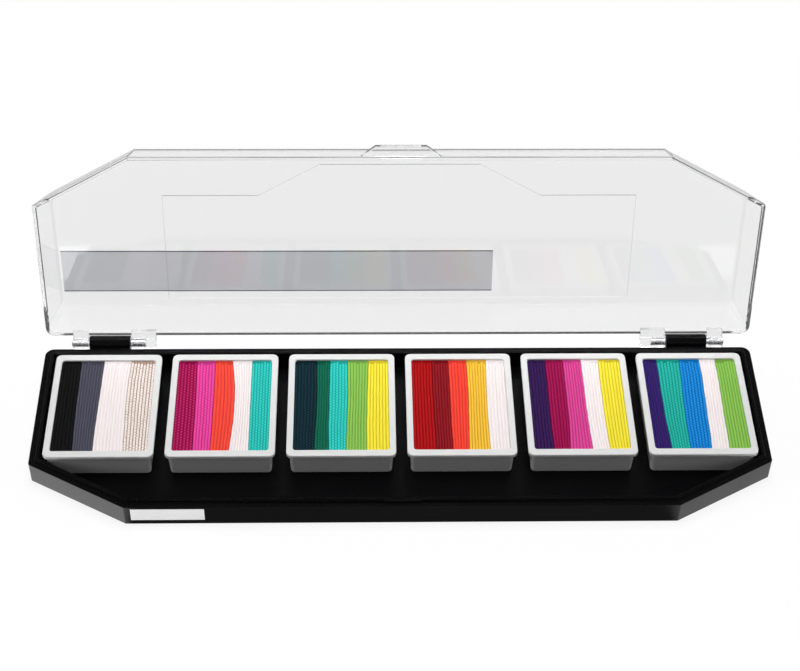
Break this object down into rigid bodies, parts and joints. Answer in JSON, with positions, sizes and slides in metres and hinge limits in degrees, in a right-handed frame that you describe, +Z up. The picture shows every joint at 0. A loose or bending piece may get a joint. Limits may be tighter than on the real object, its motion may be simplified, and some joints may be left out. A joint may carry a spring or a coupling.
{
  "type": "face paint palette",
  "caption": "Shallow tray with cut-off front corners, a clear lid hinged at the back and a row of lift-out cups of striped face paint.",
  "frame": {"origin": "centre of the tray's underside", "axes": "+X to the right, -Y to the front, +Z up"},
  "size_m": [0.24, 0.0987, 0.0822],
  "materials": {
    "tray_black": "glossy moulded",
    "lid_clear": "clear polished",
    "cup_white": "satin moulded",
    "pin_steel": "bright drawn",
    "band_grey": "printed",
    "bar_white": "printed",
    "paint_black": "pressed paint with fine ridges",
    "paint_slate": "pressed paint with fine ridges",
    "paint_white": "pressed paint with fine ridges",
    "paint_pearl": "pressed paint with fine ridges",
    "paint_plum": "pressed paint with fine ridges",
    "paint_orchid": "pressed paint with fine ridges",
    "paint_vermilion": "pressed paint with fine ridges",
    "paint_turquoise": "pressed paint with fine ridges",
    "paint_navy": "pressed paint with fine ridges",
    "paint_green": "pressed paint with fine ridges",
    "paint_lime": "pressed paint with fine ridges",
    "paint_yellow": "pressed paint with fine ridges",
    "paint_red": "pressed paint with fine ridges",
    "paint_wine": "pressed paint with fine ridges",
    "paint_coral": "pressed paint with fine ridges",
    "paint_amber": "pressed paint with fine ridges",
    "paint_purple": "pressed paint with fine ridges",
    "paint_magenta": "pressed paint with fine ridges",
    "paint_pink": "pressed paint with fine ridges",
    "paint_violet": "pressed paint with fine ridges",
    "paint_teal": "pressed paint with fine ridges",
    "paint_blue": "pressed paint with fine ridges"
  },
  "bodies": {
    "tray": {"tray": "tray_black", "front_bar": "bar_white"},
    "lid": {"lid": "lid_clear", "hinge_pin_left": "pin_steel", "hinge_pin_right": "pin_steel", "lid_band": "band_grey"},
    "cup_1": {"cup_1": "cup_white", "paint_1_black": "paint_black", "paint_1_slate": "paint_slate", "paint_1_white": "paint_white", "paint_1_pearl": "paint_pearl"},
    "cup_2": {"cup_2": "cup_white", "paint_2_plum": "paint_plum", "paint_2_orchid": "paint_orchid", "paint_2_vermilion": "paint_vermilion", "paint_2_white": "paint_white", "paint_2_turquoise": "paint_turquoise"},
    "cup_3": {"cup_3": "cup_white", "paint_3_navy": "paint_navy", "paint_3_green": "paint_green", "paint_3_turquoise": "paint_turquoise", "paint_3_lime": "paint_lime", "paint_3_yellow": "paint_yellow"},
    "cup_4": {"cup_4": "cup_white", "paint_4_red": "paint_red", "paint_4_wine": "paint_wine", "paint_4_coral": "paint_coral", "paint_4_amber": "paint_amber", "paint_4_white": "paint_white"},
    "cup_5": {"cup_5": "cup_white", "paint_5_purple": "paint_purple", "paint_5_magenta": "paint_magenta", "paint_5_pink": "paint_pink", "paint_5_white": "paint_white", "paint_5_yellow": "paint_yellow"},
    "cup_6": {"cup_6": "cup_white", "paint_6_violet": "paint_violet", "paint_6_teal": "paint_teal", "paint_6_blue": "paint_blue", "paint_6_white": "paint_white", "paint_6_lime": "paint_lime"}
  },
  "joints": [
    {"name": "lid_hinge", "type": "hinge", "parent": "tray", "child": "lid", "pos_m": [0, 0.0373, 0.0086], "axis": [-1, 0, 0], "range_deg": [-102, 0]},
    {"name": "cup_1_lift", "type": "slide", "parent": "tray", "child": "cup_1", "axis": [0, 0, 1], "range_m": [0, 0.03]},
    {"name": "cup_2_lift", "type": "slide", "parent": "tray", "child": "cup_2", "axis": [0, 0, 1], "range_m": [0, 0.03]},
    {"name": "cup_3_lift", "type": "slide", "parent": "tray", "child": "cup_3", "axis": [0, 0, 1], "range_m": [0, 0.03]},
    {"name": "cup_4_lift", "type": "slide", "parent": "tray", "child": "cup_4", "axis": [0, 0, 1], "range_m": [0, 0.03]},
    {"name": "cup_5_lift", "type": "slide", "parent": "tray", "child": "cup_5", "axis": [0, 0, 1], "range_m": [0, 0.03]},
    {"name": "cup_6_lift", "type": "slide", "parent": "tray", "child": "cup_6", "axis": [0, 0, 1], "range_m": [0, 0.03]}
  ]
}
